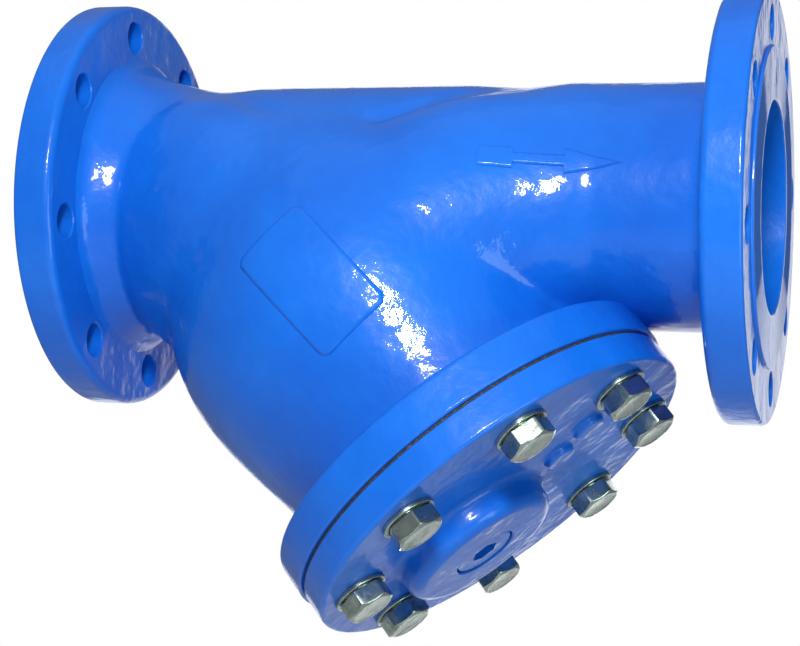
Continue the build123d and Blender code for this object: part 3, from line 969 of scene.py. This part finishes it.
def addMarks():
    m = marks
    a = np.linspace(-m["padLong"], m["padLong"], 84)[:, None]
    b = np.linspace(-m["padWide"], m["padWide"], 56)[None, :]
    gapA, gapB, corner = m["padLong"] - np.abs(a), m["padWide"] - np.abs(b), m["padCorner"]
    inset = np.where((gapA < corner) & (gapB < corner), corner - np.hypot(corner - gapA, corner - gapB),
                     np.minimum(gapA, gapB))
    height = m["padHeight"] * stepUp(inset, 2.6 * mm) - 0.6 * mm * (inset <= 0)
    c, t = math.cos(math.radians(m["padTurn"])), math.sin(math.radians(m["padTurn"]))
    places = onBranch(m["padUp"] + b * c + a * t, 0.1, m["padS"] + a * c - b * t)
    raisedFromSkin("labelPad", places, height, blueEpoxy)
    low, high = m["arrowX"]
    fan, head, step = low + m["tail"][0], high - m["head"][0], 0.05 * mm
    x = np.concatenate([np.linspace(low, fan, 14), np.linspace(fan + step, head, 14),
                        np.linspace(head + step, high - 0.5 * mm, 26)])
    point = m["head"][1] * (high - x) / m["head"][0]
    half = np.where(x <= fan, m["tail"][1], np.where(x <= head, m["stem"], point))
    w = np.linspace(-1, 1, 17)
    places = np.stack(np.broadcast_arrays(x[:, None], -0.1, m["arrowZ"] + half[:, None] * w), -1)
    height = m["arrowHeight"] * stepUp((1 - np.abs(w)) * half[:, None], 1.2 * mm)
    raisedFromSkin("flowArrow", places, height, blueEpoxy)


addMarks()
print("marks ready")

# ---- camera, floor, backdrop and lights

view = {"place": (0.62623, -1.22685, -0.39375), "yaw": 17.896, "pitch": 13.557, "roll": -5.542, "lens": 87.70}


def addCamera():
    data = bpy.data.cameras.new("studioCamera")
    data.lens, data.sensor_width, data.sensor_fit = view["lens"], 36, "HORIZONTAL"
    data.clip_start, data.clip_end = 0.05, 100
    camera = bpy.data.objects.new("studioCamera", data)
    bpy.context.scene.collection.objects.link(camera)
    yaw, pitch, roll = (math.radians(view[key]) for key in ("yaw", "pitch", "roll"))
    turn = (Matrix.Rotation(yaw, 4, "Z") @ Matrix.Rotation(pitch, 4, "X")
            @ Matrix.Rotation(roll, 4, "Y") @ Matrix.Rotation(math.pi / 2, 4, "X"))
    camera.matrix_world = Matrix.Translation(view["place"]) @ turn
    bpy.context.scene.camera = camera


studio = {"floorZ": -1.1, "floorHalf": 40.0, "floorColour": (0.82, 0.83, 0.84, 1),
          "floorTone": (0.86, 0.86, 0.86, 1)}


def addFloor():
    n = 25
    g = np.linspace(-studio["floorHalf"], studio["floorHalf"], n)
    x, y = np.meshgrid(g, g, indexing="ij")
    verts = np.stack([x, y, np.full_like(x, studio["floorZ"])], -1).reshape(-1, 3)
    floor = fromArrays("studioFloor", verts, gridFaces(n, n, wrapCols=False))
    material, tree, shader, place = startMaterial("paleFloor")
    tone = useGroup(tree, mottleGroup, place, Scale=1.5, Low=0.3, High=0.7)["Mask"]
    colour = blendNode(tree, tone, studio["floorColour"], studio["floorTone"])
    tree.links.new(colour, shader.inputs["Base Color"])
    shader.inputs["Roughness"].default_value = 0.8
    floor.data.materials.append(material)


sky = {"front": (-0.35, -0.55, 0.75), "low": 0.10, "high": 0.36, "tint": (0.90, 0.96, 1.0, 1), "shown": 1.0}


def addWorld():
    # plain white behind the object; what lights it is brighter in front and above than behind and below
    world = bpy.data.worlds.new("paleStudio")
    world.use_nodes = True
    tree = world.node_tree
    tree.nodes.clear()
    out = tree.nodes.new("ShaderNodeOutputWorld")
    seen, lit = tree.nodes.new("ShaderNodeBackground"), tree.nodes.new("ShaderNodeBackground")
    seen.inputs["Color"].default_value, seen.inputs["Strength"].default_value = (1, 1, 1, 1), sky["shown"]
    lit.inputs["Color"].default_value = sky["tint"]
    way, facing = tree.nodes.new("ShaderNodeTexCoord"), tree.nodes.new("ShaderNodeVectorMath")
    facing.operation = "DOT_PRODUCT"
    facing.inputs[1].default_value = Vector(sky["front"]).normalized()
    tree.links.new(way.outputs["Generated"], facing.inputs[0])
    ramp = tree.nodes.new("ShaderNodeMapRange")
    ramp.interpolation_type = "SMOOTHSTEP"
    for key, value in (("From Min", -0.75), ("From Max", 1.0), ("To Min", sky["low"]), ("To Max", sky["high"])):
        ramp.inputs[key].default_value = value
    tree.links.new(facing.outputs["Value"], ramp.inputs["Value"])
    tree.links.new(ramp.outputs["Result"], lit.inputs["Strength"])
    path, mix = tree.nodes.new("ShaderNodeLightPath"), tree.nodes.new("ShaderNodeMixShader")
    tree.links.new(path.outputs["Is Camera Ray"], mix.inputs[0])
    tree.links.new(lit.outputs[0], mix.inputs[1])
    tree.links.new(seen.outputs[0], mix.inputs[2])
    tree.links.new(mix.outputs[0], out.inputs["Surface"])
    bpy.context.scene.world = world


lamps = {
    "flashBox": ((0.62, -1.52, 0.20), 0.26, 23, (1, 0.99, 0.96)),
    "topBox": ((0.1, -1.2, 2.6), 3.0, 5, (1, 1, 1)),
    "lowBox": ((1.7, -0.9, -0.55), 0.9, 8, (0.78, 1, 0.80)),
    "backBox": ((-0.2, 2.8, 0.4), 3.0, 30, (1, 1, 1)),
}


def addLights():
    aim = Vector((0.24, 0, -0.06))
    for name, (place, size, power, colour) in lamps.items():
        data = bpy.data.lights.new(name, "AREA")
        data.shape, data.size, data.energy, data.color = "DISK", size, power, colour
        lamp = bpy.data.objects.new(name, data)
        bpy.context.scene.collection.objects.link(lamp)
        lamp.location = place
        lamp.rotation_euler = (aim - Vector(place)).to_track_quat("-Z", "Y").to_euler()


addCamera()
addFloor()
addWorld()
addLights()
bpy.context.scene.view_settings.view_transform = "Standard"
print("studio ready")
